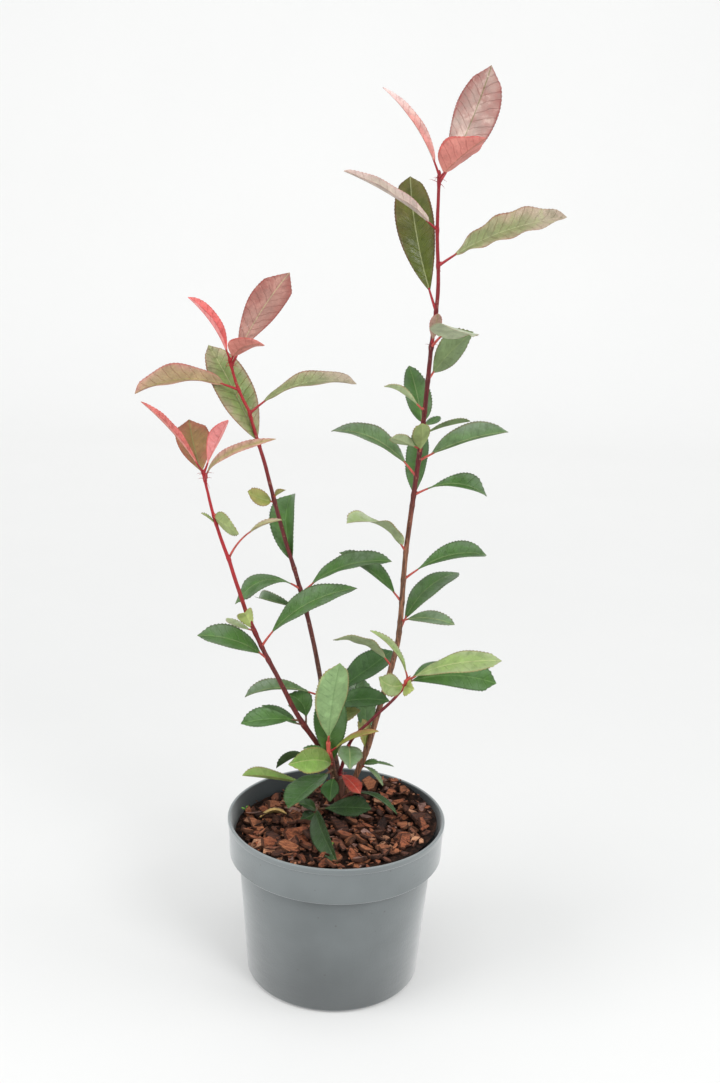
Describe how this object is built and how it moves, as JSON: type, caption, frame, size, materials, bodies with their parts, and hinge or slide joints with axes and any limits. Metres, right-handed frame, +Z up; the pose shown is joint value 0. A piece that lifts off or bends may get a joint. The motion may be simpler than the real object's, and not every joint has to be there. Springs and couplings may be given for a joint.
{
  "type": "potted photinia shrub",
  "caption": "Young evergreen shrub in a round nursery pot: leaning slender stems with lance-shaped leaves, red young shoots at the tips, bark mulch on top.",
  "frame": {"origin": "centre of the flat underside of the pot", "axes": "+Z up along the pot's axis, -Y towards the side seen first, +X to the right of that side"},
  "size_m": [0.3023, 0.1712, 0.6846],
  "materials": {
    "bough_left": "thin smooth bark, brown low down and red at the tips",
    "bough_left_foot": "thin smooth bark, brown low down and red at the tips",
    "bough_middle": "thin smooth bark, brown low down and red at the tips",
    "bough_middle_foot": "thin smooth bark, brown low down and red at the tips",
    "bough_right": "thin smooth bark, brown low down and red at the tips",
    "bough_tall": "thin smooth bark, brown low down and red at the tips",
    "bough_tall_foot": "thin smooth bark, brown low down and red at the tips",
    "foliage_foot_left": "leathery leaves, dark green below and bronze to red at the young tips",
    "foliage_foot_right": "leathery leaves, dark green below and bronze to red at the young tips",
    "foliage_front": "leathery leaves, dark green below and bronze to red at the young tips",
    "foliage_left_base": "leathery leaves, dark green below and bronze to red at the young tips",
    "foliage_left_lower": "leathery leaves, dark green below and bronze to red at the young tips",
    "foliage_left_middle": "leathery leaves, dark green below and bronze to red at the young tips",
    "foliage_left_top": "leathery leaves, dark green below and bronze to red at the young tips",
    "foliage_middle_base": "leathery leaves, dark green below and bronze to red at the young tips",
    "foliage_middle_lower": "leathery leaves, dark green below and bronze to red at the young tips",
    "foliage_middle_top": "leathery leaves, dark green below and bronze to red at the young tips",
    "foliage_middle_upper": "leathery leaves, dark green below and bronze to red at the young tips",
    "foliage_right": "leathery leaves, dark green below and bronze to red at the young tips",
    "foliage_right_low": "leathery leaves, dark green below and bronze to red at the young tips",
    "foliage_sprout": "leathery leaves, dark green below and bronze to red at the young tips",
    "foliage_tall_foot": "leathery leaves, dark green below and bronze to red at the young tips",
    "foliage_tall_lower": "leathery leaves, dark green below and bronze to red at the young tips",
    "foliage_tall_middle": "leathery leaves, dark green below and bronze to red at the young tips",
    "foliage_tall_top": "leathery leaves, dark green below and bronze to red at the young tips",
    "foliage_tall_upper": "leathery leaves, dark green below and bronze to red at the young tips",
    "growing_mix": "loose reddish-brown bark chips over dark mix",
    "pot": "matt grey moulded plastic with a wide collar",
    "trunk": "thin smooth bark, brown low down and red at the tips"
  },
  "bodies": {
    "root": {"bough_left": "bough_left", "bough_left_foot": "bough_left_foot", "bough_middle": "bough_middle", "bough_middle_foot": "bough_middle_foot", "bough_right": "bough_right", "bough_tall": "bough_tall", "bough_tall_foot": "bough_tall_foot", "foliage_foot_left": "foliage_foot_left", "foliage_foot_right": "foliage_foot_right", "foliage_front": "foliage_front", "foliage_left_base": "foliage_left_base", "foliage_left_lower": "foliage_left_lower", "foliage_left_middle": "foliage_left_middle", "foliage_left_top": "foliage_left_top", "foliage_middle_base": "foliage_middle_base", "foliage_middle_lower": "foliage_middle_lower", "foliage_middle_top": "foliage_middle_top", "foliage_middle_upper": "foliage_middle_upper", "foliage_right": "foliage_right", "foliage_right_low": "foliage_right_low", "foliage_sprout": "foliage_sprout", "foliage_tall_foot": "foliage_tall_foot", "foliage_tall_lower": "foliage_tall_lower", "foliage_tall_middle": "foliage_tall_middle", "foliage_tall_top": "foliage_tall_top", "foliage_tall_upper": "foliage_tall_upper", "growing_mix": "growing_mix", "pot": "pot", "trunk": "trunk"}
  },
  "joints": []
}
